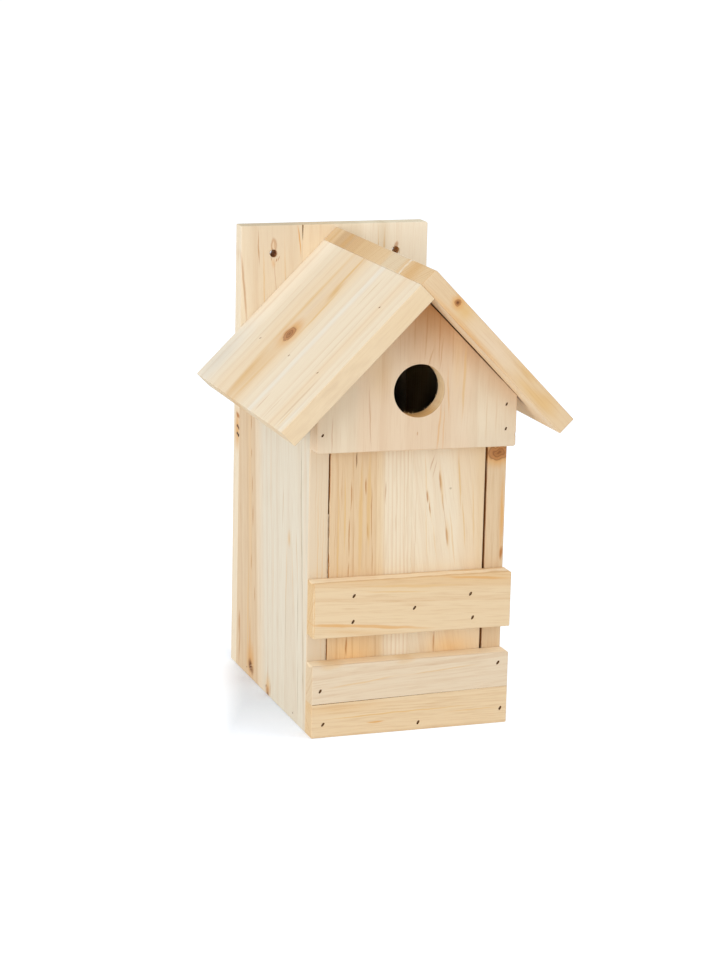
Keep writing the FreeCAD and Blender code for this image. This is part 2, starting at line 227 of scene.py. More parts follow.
def growth_rings(tree, place, along, ring, pith, tilt, seed):
    """Latewood lines round the pith, each year's line as dark as that year's summer."""
    to_pith = node(tree, "ShaderNodeVectorMath", {0: place, 1: (pith[0], 0, pith[1])}, operation="SUBTRACT")
    rise = node(tree, "ShaderNodeMath", {0: along, 1: tilt}, operation="MULTIPLY")
    rise = node(tree, "ShaderNodeCombineXYZ", {"Z": rise.outputs[0]})
    to_pith = node(tree, "ShaderNodeVectorMath", {0: to_pith.outputs[0], 1: rise.outputs[0]}, operation="ADD")
    to_pith = node(tree, "ShaderNodeVectorMath", {0: to_pith.outputs[0], 1: (1 / ring, 0, 1 / ring)},
                   operation="MULTIPLY")
    years = node(tree, "ShaderNodeVectorMath", {0: to_pith.outputs[0]}, operation="LENGTH").outputs["Value"]
    season = node(tree, "ShaderNodeMath", {0: years}, operation="FRACT").outputs[0]
    year = node(tree, "ShaderNodeMath", {0: years}, operation="FLOOR").outputs[0]
    year = node(tree, "ShaderNodeMath", {0: year, 1: seed}, operation="ADD").outputs[0]
    summer = node(tree, "ShaderNodeTexWhiteNoise", {"W": year}, noise_dimensions="1D").outputs["Value"]
    darker = node(tree, "ShaderNodeMapRange", {"Value": season, "From Min": 0.35, "From Max": 0.92},
                  interpolation_type="SMOOTHSTEP").outputs[0]
    winter = node(tree, "ShaderNodeMapRange", {"Value": season, "From Min": 1.0, "From Max": 0.92}).outputs[0]
    line = node(tree, "ShaderNodeMath", {0: darker, 1: winter}, operation="MULTIPLY").outputs[0]
    return node(tree, "ShaderNodeMath", {0: line, 1: summer}, operation="MULTIPLY").outputs[0]


def fine_fibres(tree, place, seed):
    """Fibres, drawn far coarser than real ones so that they show."""
    size = (1 / FIBRE_WIDE, 1 / FIBRE_LONG, 1 / FIBRE_WIDE)
    sized = node(tree, "ShaderNodeVectorMath", {0: place, 1: size, 2: (seed, 3, seed)},
                 operation="MULTIPLY_ADD")
    return node(tree, "ShaderNodeTexNoise",
                {"Vector": sized.outputs[0], "Scale": 1.0, "Detail": 3.0}).outputs["Fac"]


def draw_mark(tree, colour, place, mark):
    """Streak or stain laid over a colour."""
    distance = from_mark(tree, place, mark, mark.lean)
    return tint(tree, colour, fade(tree, distance, 1.0, mark.soft, mark.strength), TONES[mark.tone])


def draw_knot(tree, colour, place, knot):
    """Resin glow, brown body with its own rings, and dark heart of a knot."""
    distance = from_mark(tree, place, knot)
    colour = tint(tree, colour, fade(tree, distance, 2.6, 0.5, 0.6), TONES["amber"])
    colour = tint(tree, colour, fade(tree, distance, 1.2, 0.7, 0.68), TONES["knot"])
    rings = node(tree, "ShaderNodeMath", {0: distance, 1: 16.0}, operation="MULTIPLY").outputs[0]
    rings = node(tree, "ShaderNodeMath", {0: rings}, operation="SINE").outputs[0]
    dark = node(tree, "ShaderNodeMath", {0: rings, 1: fade(tree, distance, 1.15, 0.85, 0.4)},
                operation="MULTIPLY", use_clamp=True).outputs[0]
    colour = tint(tree, colour, dark, TONES["heart"])
    return tint(tree, colour, fade(tree, distance, 0.7, 0.1, knot.heart), TONES["heart"])


def fir(name, axes, tones, origin=(0, 0, 0), seed=0.0, lean=0.0, ring=3.0, pith=(10, -60), tilt=0.0,
        lines=0.2, fibres=0.3, wander=1.0, end="#F2E2C6", marks=(), knots=()):
    """Planed fir, unsealed: pale earlywood, thin darker latewood lines along the grain, duller cut ends.

    The tones lie side by side across the board, as they do in glued staves and between sapwood and
    heartwood. The surface is dry and matt, a little rougher in the soft bands.
    """
    material, tree, shader = new_material(name)
    place = grain_place(tree, axes, origin)
    # The edges of marks are ragged over a few millimetres, and the grain wanders over some centimetres
    ragged = wandering(tree, place, seed, (4, 14), (1.6, 5.0, 1.6), 7.0)
    bent = wandering(tree, place, seed, (50, 160), (4 * wander, 0, 4 * wander), 1.0)
    for knot in knots:
        bent = bend_round(tree, bent, knot)
    leant = node(tree, "ShaderNodeMapping",
                 {"Vector": bent, "Rotation": (0, 0, -math.radians(lean))}).outputs[0]
    parts = node(tree, "ShaderNodeSeparateXYZ", {0: leant}).outputs

    colour = tones_across(tree, parts["X"], tones)
    for mark in marks:
        if mark.wide > FINE_MARK:
            colour = draw_mark(tree, colour, ragged, mark)

    # Rings, a little stronger where the board is cut across, and fibres over them
    cut_end = cut_ends(tree, axes[1])
    colour = tint(tree, colour, cut_end, end, "MULTIPLY")
    line = growth_rings(tree, leant, parts["Y"], ring, pith, tilt, seed)
    strong = node(tree, "ShaderNodeMath", {0: cut_end, 1: 0.1, 2: lines}, operation="MULTIPLY_ADD").outputs[0]
    shown = node(tree, "ShaderNodeMath", {0: line, 1: strong}, operation="MULTIPLY").outputs[0]
    colour = tint(tree, colour, shown, LATEWOOD, "MULTIPLY")
    fibre = fine_fibres(tree, leant, seed)
    shade = node(tree, "ShaderNodeMapRange",
                 {"Value": fibre, "From Min": 0.48, "From Max": 0.8, "To Max": fibres}).outputs[0]
    colour = tint(tree, colour, shade, FIBRE_SHADE, "MULTIPLY")

    for mark in marks:
        if mark.wide <= FINE_MARK:
            colour = draw_mark(tree, colour, ragged, mark)
    for knot in knots:
        colour = draw_knot(tree, colour, ragged, knot)

    tree.links.new(colour, shader.inputs["Base Color"])
    rough = node(tree, "ShaderNodeMapRange", {"Value": fibre, "To Min": 0.55, "To Max": 0.75}).outputs[0]
    tree.links.new(rough, shader.inputs["Roughness"])
    shader.inputs["Specular IOR Level"].default_value = 0.15
    height = node(tree, "ShaderNodeMath", {0: line, 1: fibre}, operation="ADD").outputs[0]
    bump = node(tree, "ShaderNodeBump", {"Height": height, "Strength": 0.3, "Distance": 0.08 * MM})
    tree.links.new(bump.outputs[0], shader.inputs["Normal"])
    return material


# Where each roof board's outer plane starts from at the ridge, in millimetres. The left board's underside
# would reach RIDGE_UNDERSIDE in the middle of the box.
RIDGE_UNDERSIDE, BOARD_THICKNESS = 268, 12
RIDGE = (0, 0, RIDGE_UNDERSIDE + BOARD_THICKNESS / SLOPE)
RIGHT_RIDGE = (0.85, 0, 285.6)


def painted_light_top(height):
    """Painted light on a cleat's top, which is made paler than its front."""
    return [Streak(height, 0, 6.4, 600, tone, strength, soft=0.8, depth=-68.3, reach=6.2)
            for tone, strength in (("milk", 1.0), ("sawn", 0.45))]


# Each board's fir: the tones with their places across the grain, and the marks and knots that show on it,
# among them painted shade and painted light
WOODS = {
    "left_side": dict(
        axes=LEFT, seed=2.0, lean=5.0, ring=7.0, pith=(34.5, 22.9), tilt=0.018, wander=0.5,
        tones=[(-90, "tan"), (-38, "tan"), (-31, "oat"), (-14, "pale"), (78, "pale")],
        marks=[
            Streak(63, 100, 3, 600, "oat", 0.9, soft=0.6), Streak(63, 100, 3, 600, "tan", 0.25, soft=0.6),
            Stain(56, 100, 9, 300, "oat", 0.45, lean=2),
            Stain(60.3, 120, 3, 260, "tan", 0.7, depth=60.3, reach=0.5),
            Stain(62.7, 150, 3, 110, "tan", 0.9, depth=58.3, reach=0.45),
            Stain(62.7, 108, 3, 140, "gold", 0.6, depth=56.6, reach=0.6),
            Stain(62.7, 140, 3, 120, "tan", 0.8, depth=55, reach=0.4),
            Stain(62.7, 90, 3, 170, "gold", 0.6, depth=53.4, reach=0.5),
            Stain(62.7, 135, 3, 120, "tan", 0.8, depth=51.8, reach=0.5),
            Streak(47, 150, 1.3, 70, "olive", 0.9, lean=2.6), Streak(51, 104, 1.3, 90, "olive", 0.9, lean=4),
            Streak(56.6, 40, 1.3, 84, "olive", 0.75, lean=4.2),
            Streak(44.6, 72, 1.3, 50, "olive", 0.8, lean=2.4),
            Streak(47, 25, 1.3, 50, "olive", 0.6, lean=2.4), Streak(41, 104, 1.3, 34, "olive", 0.5, lean=6),
            Streak(11.5, 128, 1.3, 34, "olive", 0.45), Streak(-33, 60, 1.3, 90, "olive", 0.3, lean=3),
            Streak(20.5, 60, 1.3, 70, "olive", 0.4, lean=1), Streak(-14, 140, 1.8, 70, "tan", 0.8, lean=3),
            Streak(-6.5, 80, 1.8, 80, "tan", 0.8, lean=3), Streak(12, 128, 2, 30, "tan", 0.5),
            Stain(25, 112, 9, 15, "gold", 0.6), Streak(20.6, 86, 2.4, 60, "gold", 0.4, lean=-1),
            Streak(33.5, 88, 2.4, 54, "gold", 0.3, lean=8), Streak(41, 104, 2.4, 44, "tan", 0.6, lean=9),
            Stain(-57, 110, 11, 220, "honey", 0.6, lean=4), Stain(-72, 100, 14, 300, "oat", 0.25, lean=3),
            Streak(-57, 168, 1.8, 16, "rust", 0.75, lean=3), Streak(-55.5, 147, 2.2, 8, "rust", 0.7),
            Streak(-53, 127, 1.8, 18, "rust", 0.7, lean=2), Streak(-50.8, 108, 2.4, 20, "rust", 0.7, lean=4),
            Streak(-53, 77, 1.8, 14, "rust", 0.75), Streak(-45, 58, 1.8, 14, "rust", 0.65, lean=3),
            Streak(-78, 30, 4.5, 20, "rust", 0.6), Streak(-77, 14, 4, 34, "rust", 0.5, lean=-4),
            Streak(-59, 40, 3, 90, "gold", 0.7, lean=1), Stain(-52, 12, 26, 34, "amber", 0.75),
            Stain(-54, 26, 5.5, 40, "amber", 0.5, lean=2),
            Streak(-51, 8, 17, 11, "resin", 0.85, lean=-20, soft=0.2),
            Streak(-52, 7.5, 5, 6.5, "heart", 0.9), Streak(-49, 9.5, 0.8, 13, "honey", 0.7, lean=-62),
            Streak(-51, 6.5, 0.7, 11, "honey", 0.6, lean=-66), Stain(-13.5, 6, 16, 22, "gold", 0.8),
            Stain(-14.5, 3, 11, 11, "rust", 0.75), Streak(-13.5, 1.2, 4.6, 3, "heart", 0.6),
            Streak(-17.5, 5.5, 2.6, 3, "resin", 0.7), Streak(-8.5, 5, 2.5, 12, "rust", 0.4),
            Streak(-14.5, 14, 1.6, 18, "rust", 0.5)]),
    "roof_left": dict(
        axes=LEFT_SLOPE, origin=RIDGE, seed=5.0, ring=8.0, pith=(-10, -30), lines=0.18, fibres=0.18,
        wander=0.5, end="#F1ECE2",
        tones=[(-90, "milk"), (-70, "milk"), (-50, "cream"), (-36, "butter"), (-16, "butter"), (-2, "peach"),
               (8, "butter"), (16, "cream"), (24, "cream"), (31, "chalk"), (38, "cream"), (62, "cream"),
               (74, "butter"), (86, "cream"), (95, "cream"), (96.1, "wheat"), (100, "wheat")],
        marks=[
            Stain(-23, -50, 10, 150, "gold", 0.6), Streak(-22.5, -50, 3, 110, "gold", 0.25),
            Streak(-4.6, -22, 4.6, 40, "gold", 0.8), Stain(-1.8, -38, 14, 26, "gold", 0.8, lean=14),
            Streak(97, -90, 2.2, 150, "tan", 0.9, soft=0.2), Stain(2.6, -52, 6, 36, "gold", 0.4, lean=8),
            Streak(3.5, -56, 4.5, 50, "gold", 0.65), Stain(-12, -50, 9, 60, "blush", 0.5),
            Stain(-17, -112, 17, 76, "gold", 0.7, lean=9), Streak(-3, -112, 5, 60, "gold", 0.45, lean=-3),
            Stain(-11, -104, 26, 80, "gold", 0.45), Streak(-47, -60, 3, 120, "tan", 0.3),
            Streak(-73, -50, 2.4, 90, "tan", 0.2), Streak(-58, -100, 3, 60, "tan", 0.4),
            Streak(43, -28, 2, 32, "tan", 0.7), Streak(54, -60, 1.6, 90, "tan", 0.4),
            Streak(64, -70, 1.8, 116, "tan", 0.5), Streak(78, -46, 2.4, 48, "tan", 0.4),
            Streak(80.5, -108, 3.4, 52, "tan", 0.9, lean=-2), Streak(38.5, -120, 2.4, 20, "rust", 0.3),
            Streak(84, -120, 2, 20, "gold", 0.5), Streak(58, -120, 2, 24, "tan", 0.6),
            Stain(-72, -112, 50, 94, "ash", 0.85), Stain(90, -118, 9, 50, "chalk", 0.8),
            Stain(-8.5, -71, 22, 22, "amber", 0.5), Streak(-8.3, -75.5, 1, 10, "peach", 0.8, lean=85),
            Stain(-15, -76, 9, 7, "knot", 0.5)],
        knots=[Knot(-9, -76, 13.5, 11.5)]),
    "roof_right": dict(
        axes=RIGHT_SLOPE, origin=RIGHT_RIDGE, seed=9.0, ring=2.6, pith=(150, -70), wander=1.2, end="#F3E7D3",
        tones=[(-90, "butter"), (-70, "butter"), (-63, "tan"), (-43, "tan"), (-41, "straw"), (-28, "straw"),
               (-26, "wheat"), (20, "butter"), (54, "butter"), (61, "peach"), (80, "peach"), (83, "butter"),
               (95, "butter"), (96.1, "straw"), (98, "straw")],
        marks=[
            Stain(-50, 2, 15, 40, "gold", 0.6), Streak(70, 2, 20, 40, "gold", 0.45, soft=0.2),
            Streak(56, 2, 5, 8, "chalk", 0.9), Stain(-74, 2, 8, 40, "gold", 0.4),
            Streak(37, 0, 33, 60, "chalk", 0.9, soft=0.6),
            Stain(96, 31, 20, 20, "gold", 0.9, depth=-4, reach=9),
            Stain(96, 100, 30, 56, "gold", 0.8, depth=-8, reach=5),
            Stain(96, 86, 30, 30, "gold", 0.7, depth=-2, reach=4),
            Stain(96, 60, 30, 60, "blush", 0.7, depth=-6, reach=8),
            Stain(96, 24, 24, 14, "amber", 0.55, depth=-3.5, reach=7),
            Stain(96, 108, 24, 30, "gold", 0.7, depth=-5, reach=8),
            # The resin streak on the underside is painted shade in the gap over the gable
            Streak(70, 66, 15, 104, "resin", 0.85, soft=0.7, depth=-12, reach=0.6),
            # The amber stain on the front edge's lower arris is painted shade
            Stain(96.2, 40, 8, 120, "amber", 0.55, depth=-12, reach=4)],
        knots=[Knot(96.2, 24, 16, 4.6, depth=-3.7, reach=2.2, heart=0.8)]),
    "gable_front": dict(
        axes=FRONT, seed=13.0, ring=4.0, pith=(8, -20), lines=0.18, fibres=0.2, wander=0.6,
        tones=[(-66, "blush"), (-57, "oat"), (-41, "oat"), (-35, "blush"), (30, "blush"), (37, "oat"),
               (58, "oat"), (66, "blush")],
        marks=[
            # The ochre stain at the apex is painted shade under the roof
            Stain(9, 268, 116, 112, "ochre", 0.85), Stain(40, 190, 44, 40, "cream", 0.6),
            # The bark streak is painted shade in the gap under the right roof
            Streak(27, 241, 5, 74, "bark", 0.9, lean=45.4, soft=0.6, depth=66, reach=8.2),
            # The ochre stain along the right roof is painted shade under it
            Stain(43, 227, 38, 150, "ochre", 0.42, lean=45.4), Stain(-46, 186, 10, 44, "cream", 0.5),
            Stain(24, 225, 10, 60, "honey", 0.4), Stain(-24, 222, 26, 50, "honey", 0.45),
            # Painted light on the wall of the entrance hole
            Streak(0.7, 210.1, 80, 80, "sawn", 0.95, soft=0.8, depth=68.9, reach=6.4),
            Streak(-29.8, 196, 1.1, 52, "rust", 0.4, lean=2.5), Streak(-53, 186, 1, 30, "rust", 0.35),
            Streak(4.2, 246, 1.1, 44, "rust", 0.35, lean=-2),
            Streak(7.2, 229, 1.1, 20, "rust", 0.35, lean=-14),
            Streak(12.6, 244, 1.1, 50, "rust", 0.4, lean=-1),
            Streak(14, 232, 1.2, 26, "rust", 0.35, lean=-7), Streak(19, 208, 1.4, 40, "amber", 0.4, lean=3),
            Streak(13.6, 188, 1.8, 40, "amber", 0.45, lean=-4),
            Streak(16.5, 186, 1.2, 40, "amber", 0.35, lean=-2),
            Streak(28.8, 215, 2.4, 60, "gold", 0.6, lean=-2), Streak(0.3, 184.5, 1.3, 3.2, "rust", 0.5),
            Streak(-3, 246, 1, 40, "rust", 0.2), Streak(-12, 236, 1, 40, "rust", 0.15),
            Streak(21, 236, 1, 40, "rust", 0.2), Streak(44, 190, 1.2, 40, "tan", 0.6),
            Streak(50, 195, 1.2, 40, "tan", 0.6)]),
    "door_left_stave": dict(
        axes=FRONT, seed=17.0, ring=1.9, pith=(-90, -10), lines=0.28, wander=0.5, lean=1.0,
        tones=[(-54, "straw"), (-20, "straw"), (-16, "wheat"), (-11, "cream"), (8, "cream")],
        marks=[
            # The first streak, on the stave's left edge, is painted shade in the gap beside the door
            Streak(-49.6, 100, 0.5, 400, "rust", 0.9, soft=0.5), Streak(-33.5, 168, 1.2, 14, "resin", 0.7),
            Streak(-36.3, 145, 0.9, 22, "rust", 0.7, lean=1),
            Streak(-37.2, 121, 1, 30, "rust", 0.85, lean=1), Streak(-36.8, 99, 0.9, 16, "rust", 0.6),
            Streak(-27, 151, 1.4, 14, "rust", 0.8), Streak(-23.2, 132, 0.8, 50, "rust", 0.65, lean=1.5),
            Streak(-22, 104, 0.8, 30, "rust", 0.55, lean=2),
            Streak(-25.5, 123, 1.2, 14, "rust", 0.7, lean=2), Streak(-34, 110, 0.8, 60, "rust", 0.3),
            Streak(-30, 150, 0.8, 50, "rust", 0.3), Streak(-42, 150, 0.8, 40, "rust", 0.3),
            Streak(-46, 120, 0.8, 80, "rust", 0.25), Streak(-14.6, 146, 1.2, 16, "rust", 0.45),
            Streak(-7.5, 127, 1.4, 16, "tan", 0.6), Streak(-1, 140, 1, 90, "tan", 0.5),
            Streak(-40, 135, 1.4, 60, "gold", 0.8), Streak(-30, 130, 3.5, 90, "gold", 0.7),
            Streak(-25, 140, 3.5, 80, "gold", 0.7), Streak(-44, 120, 1.6, 90, "gold", 0.6),
            # The glow stain and the milk one after it, low on the door, are painted light between the cleats
            Stain(-18, 100, 7, 60, "wheat", 0.8, lean=2), Stain(-34, 47, 52, 40, "glow", 0.9),
            Stain(-5, 47, 26, 34, "milk", 0.8), Streak(-37.5, 53, 1.4, 16, "rust", 0.8)]),
    "door_right_stave": dict(
        axes=FRONT, seed=21.0, ring=4.5, pith=(60, 0), fibres=0.22, wander=1.6, lean=8.0,
        tones=[(-4, "cream"), (44, "cream"), (58, "butter"), (70, "wheat")],
        marks=[
            Streak(20, 151, 2.2, 17, "rust", 0.75, lean=5), Streak(22.2, 139, 1.4, 16, "rust", 0.45, lean=9),
            Streak(25.4, 117, 2.1, 15, "rust", 0.7, lean=7), Streak(24, 128, 1, 24, "rust", 0.3, lean=8),
            Stain(21, 148, 3.4, 40, "gold", 0.5, lean=6), Stain(26, 118, 3.4, 36, "gold", 0.4, lean=6),
            Streak(10.8, 156, 1.1, 36, "gold", 0.5, lean=3), Streak(13.5, 137, 1.2, 30, "gold", 0.5, lean=9),
            Streak(17.5, 115, 1.2, 30, "gold", 0.35, lean=8), Streak(12, 142, 1.3, 10, "rust", 0.75, lean=5),
            Streak(13.8, 135, 1.3, 8, "rust", 0.65, lean=12),
            Streak(14.6, 163, 1, 14, "rust", 0.4, lean=-14), Streak(16.4, 160, 1, 14, "rust", 0.3, lean=-14),
            Streak(12, 120, 0.9, 50, "gold", 0.5, lean=4), Streak(32.5, 152, 1.8, 44, "gold", 0.7, lean=4),
            Streak(36, 124, 1.6, 38, "gold", 0.6, lean=5), Streak(29, 115, 1.4, 44, "gold", 0.5, lean=7),
            Streak(27, 147.5, 2.4, 2, "olive", 0.5), Streak(42, 130, 1.4, 60, "gold", 0.5, lean=3),
            # The glow stain low on the door is painted light between the cleats
            Streak(5, 120, 1, 120, "tan", 0.5), Stain(30, 47, 54, 40, "glow", 0.9),
            Streak(19, 52, 1.4, 20, "rust", 0.6), Stain(46, 120, 6, 150, "wheat", 0.7)]),
    "door_cleat": dict(
        axes=LEVEL, seed=25.0, ring=3.4, pith=(130, 30), fibres=0.34, wander=0.6, lean=3.0, end="#F7EDDC",
        tones=[(50, "wheat"), (86, "wheat"), (97, "honey"), (104, "honey")],
        marks=[
            # The first marks are painted light on the cleat's top
            *painted_light_top(98), Streak(93.6, 40, 2.4, 54, "amber", 0.6, lean=4.8),
            Streak(67.3, -24, 3, 90, "amber", 0.6, lean=5.2), Streak(70, -52, 3.2, 30, "amber", 0.5, lean=4),
            Streak(88, -10, 1.6, 60, "gold", 0.5, lean=3), Streak(91, 0, 2.4, 80, "gold", 0.5, lean=3),
            Stain(64.5, -35, 6, 70, "honey", 0.7, lean=5)]),
    "base_cleat_upper_stave": dict(
        axes=LEVEL, seed=29.0, ring=3.6, pith=(70, -30), fibres=0.34, wander=0.8, lean=-3.0, end="#F8F3EA",
        tones=[(14, "oat"), (52, "oat")],
        marks=[
            # The first marks are painted light on the cleat's top
            *painted_light_top(46), Streak(44.5, -50, 6, 22, "gold", 0.4, lean=-8),
            Streak(44.5, -3, 5, 16, "gold", 0.3, lean=-8), Streak(33, -30, 1.4, 60, "gold", 0.5, lean=-6),
            Streak(37, 20, 1.2, 60, "gold", 0.5, lean=-4)]),
    "base_cleat_lower_stave": dict(
        axes=LEVEL, seed=33.0, ring=3.4, pith=(-40, -30), fibres=0.4, wander=0.6, end="#F8F3EA",
        tones=[(-6, "wheat"), (30, "wheat")],
        marks=[
            Streak(12.3, -10, 1.3, 120, "gold", 0.8, lean=-1), Streak(7.2, -21, 1.6, 14, "amber", 0.8),
            Streak(10, 40, 1.2, 50, "gold", 0.5, lean=-1), Stain(18, -44, 12, 90, "honey", 0.8)]),
    "back_left_stave": dict(
        axes=FRONT, seed=37.0, ring=5.0, pith=(-120, 20), lines=0.12, fibres=0.16, wander=0.8, lean=2.0,
        end="#EDEDE6",
        tones=[(-66, "cream"), (-54, "cream"), (-44, "oat"), (-18, "oat"), (-8, "butter")],
        marks=[
            Streak(-60.2, 247, 1.8, 60, "rust", 0.5, lean=5.4),
            Streak(-51, 273, 0.9, 30, "rust", 0.6, lean=3), Streak(-41, 274, 5, 13, "rust", 0.6, soft=0.5),
            Streak(-41, 274, 3.2, 10, "butter", 0.8), Streak(-40.6, 275, 0.9, 8, "rust", 0.4),
            Stain(-41, 262, 4, 9, "amber", 0.4), Streak(-37.6, 265.6, 0.9, 3.6, "rust", 0.7, lean=-25),
            Streak(-39.2, 264.6, 0.9, 3.4, "rust", 0.7, lean=-15), Streak(-42.4, 264.4, 0.8, 3, "rust", 0.6),
            Streak(-39.6, 252, 0.9, 30, "rust", 0.35, lean=5),
            Streak(-24, 277, 1.2, 26, "amber", 0.8, lean=7.5),
            Streak(-47, 250, 1.2, 60, "gold", 0.6, lean=2), Streak(-33, 250, 1.2, 70, "gold", 0.5, lean=2),
            # The rust streak on the hole's wall is painted shade in the screw hole
            Streak(-41, 269, 9, 9, "rust", 1, soft=0.7, depth=-90.25, reach=6.3),
            Stain(-62.5, 156, 12, 40, "amber", 0.85, depth=-88, reach=8),
            Streak(-62.5, 153, 8, 3, "bark", 0.95, soft=0.4, depth=-86, reach=5),
            Streak(-62.5, 157.5, 8, 2.6, "heart", 0.9, soft=0.4, depth=-86, reach=5),
            Streak(-62.5, 165, 8, 5, "rust", 0.9, depth=-87, reach=5)]),
    "back_right_stave": dict(
        axes=FRONT, seed=41.0, ring=5.0, pith=(110, 20), lines=0.12, fibres=0.18, wander=0.8, end="#EDEDE6",
        # The milk tones are partly painted light, against the shade that the ridge casts on this stave
        tones=[(-26, "butter"), (-6, "butter"), (6, "cream"), (14, "cream"), (20, "milk"), (26, "milk"),
               (32, "cream"), (38, "milk"), (66, "milk")],
        marks=[
            Streak(20, 255, 1.4, 60, "gold", 0.7), Streak(29, 260, 1.4, 60, "gold", 0.7),
            Streak(33, 260, 2.4, 60, "gold", 0.7), Streak(41.4, 272.6, 3.6, 5, "rust", 0.6),
            # The amber streak on the hole's wall is painted shade in the screw hole
            Streak(41, 269, 9, 9, "amber", 1, soft=0.7, depth=-90.25, reach=6.3),
            # The bark streak on the inner face is painted shade inside the box
            Streak(20, 150, 84, 170, "bark", 0.8, soft=0.6, depth=-84.2, reach=3)]),
    "right_side": dict(
        axes=RIGHT, seed=45.0, ring=4.0, pith=(-60, 20),
        tones=[(-70, "straw"), (-56, "tan"), (-30, "oat"), (20, "pale"), (50, "oat"), (90, "tan")],
        marks=[
            Stain(-62.7, 128, 12, 70, "amber", 0.8, depth=60.5, reach=2),
            Streak(-62.7, 104, 9, 12, "rust", 0.9, soft=0.2, depth=61, reach=1.6),
            Stain(-62.7, 167, 24, 22, "amber", 0.8, depth=57, reach=9),
            # The rust streak on the inner face is painted shade in the gap beside the door
            Streak(-57, 110, 11.2, 400, "rust", 0.9, soft=0.7, depth=50.5, reach=0.5),
            # The bark streak on the inner face is painted shade inside the box
            Streak(14, 115, 128, 200, "bark", 0.8, soft=0.6, depth=50.5, reach=3)],
        knots=[Knot(-62.7, 167, 20, 9.5, depth=57.5, reach=7.5)]),
    "floor": dict(
        axes=LYING, seed=49.0, ring=4.0, pith=(20, -40), lines=0.25,
        tones=[(-56, "butter"), (-20, "cream"), (20, "butter"), (56, "cream")]),
}

# Pits that the nail gun left, in millimetres, and how far below the face the brads lie in them
PIT_LONG, PIT_SHORT, PIT_DEPTH = 2.9, 1.5, 1.3
BRAD_SINK = 0.9
# Slant of the pits from upright, and how much it varies, in degrees
PIT_SLANT, PIT_SWING = 35.0, 9.0

# Holes in the boards, in millimetres, and where round them fibres were torn, in degrees
ENTRANCE_RADIUS, ENTRANCE_ACROSS, ENTRANCE_HEIGHT = 16.0, 0.7, 210.1
ENTRANCE_TORN = (-122, -112, -106, -101, -97, -92, -60, -52, -47, -43, -40, -20, 8)
SCREW_RADIUS, SCREW_ACROSS, SCREW_HEIGHT = 2.5, 41.0, 269.0
SCREW_CHIPPED = (100, 140, 170, 250, 330)
LEFT_SCREW_TORN, RIGHT_SCREW_TORN = range(-64, 34, 7), range(-74, 34, 9)
SPLINTER_LONG, SPLINTER_ROOT, SPLINTER_TIP = 2.0, 0.45, 0.05

# Widths of the open seams at their two ends, and how far down the back's seam has opened, in millimetres
CLEAT_SEAM = (0.38, 0.16)
BACK_SEAM = (0.9, 0.05)
BACK_SEAM_OPEN = 12.0

# Strip of raised grain on the left side's inner edge: its size, and its middle past that edge, behind the
# front and above the foot, in millimetres
RAISED_SIZE = (0.46, 1.0, 96.0)
RAISED_PLACE = Vector((0.15, 0.8, 87.0))

# Front arrises worn by handling: the board and which end of it, from and to which height above its foot (None
# is its top), how many chips, and how deep and long they are, in millimetres
WORN = [
    ("door_cleat", "left", 0, None, 8, 1.0, 9),
    ("gable_front", "right", 0, 9, 3, 1.0, 4),
    ("door_right_stave", "right", 30, None, 16, 0.55, 9),
    ("door_left_stave", "left", 30, None, 18, 0.5, 6),
    ("left_side", "right", 95, 172, 10, 0.35, 5),
]

# Which brads were driven into each board, the way that its nailed face looks, and the size of the pits there
NAILED = [
    ("gable_front", "gable_brads", (0, -1, 0), 0.8),
    ("door_cleat", "door_cleat_brads", (0, -1, 0), 1.0),
    ("base_cleat_upper_stave", "base_cleat_upper_brads", (0, -1, 0), 1.0),
    ("base_cleat_lower_stave", "base_cleat_lower_brads", (0, -1, 0), 1.0),
    ("roof_left", "roof_left_brads", (-SLOPE, 0, SLOPE), 0.6),
    ("roof_right", "roof_right_brads", RIGHT_OUT, 0.6),
    ("roof_right", "ridge_brads", RIGHT_OUT, 0.6),
    ("back_left_stave", "back_brads", (0, 1, 0), 1.0),
    ("back_right_stave", "back_brads", (0, 1, 0), 1.0),
    ("left_side", "floor_brads", (-1, 0, 0), 0.5),
    ("right_side", "floor_brads", (1, 0, 0), 0.5),
]

# Rounding of the boards' and brads' edges, in millimetres, and points that count as one
BOARD_ARRIS, BRAD_ARRIS = 0.15, 0.12
SAME_POINT = 0.002
# How flat neighbouring faces must be to be joined, in degrees. The back's round corner has facets that are
# too fine for an arris, so they are joined as well.
JOIN_ANGLE = 0.5
WIDER_JOIN_ANGLE = {"back_right_stave": 5.0}

BODY = {name: body for body, names in frame["record"]["behaviour"]["bodies"].items() for name in names}

random.seed(7)


def use(piece, material):
    """Give a piece its one material."""
    piece.data.materials.clear()
    piece.data.materials.append(material)


def pick(*pieces):
    """Select these pieces alone, the first as the active one."""
    bpy.ops.object.select_all(action="DESELECT")
    for piece in pieces:
        piece.select_set(True)
    bpy.context.view_layer.objects.active = pieces[0]


def taken_from(name, piece_name):
    """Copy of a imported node, its loose triangles joined into whole faces."""
    piece = bpy.data.objects.new(piece_name, frame["nodes"][name].data.copy())
    bpy.context.scene.collection.objects.link(piece)
    pick(piece)
    bpy.ops.object.mode_set(mode="EDIT")
    bpy.ops.mesh.select_all(action="SELECT")
    bpy.ops.mesh.customdata_custom_splitnormals_clear()
    bpy.ops.mesh.remove_doubles(threshold=SAME_POINT * MM)
    bpy.ops.mesh.dissolve_limited(angle_limit=math.radians(WIDER_JOIN_ANGLE.get(name, JOIN_ANGLE)))
    bpy.ops.object.mode_set(mode="OBJECT")
    return piece


def stands_for(piece, name):
    """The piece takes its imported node's place on the same body, and the node is hidden."""
    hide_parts(name)
    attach(piece, BODY[name])


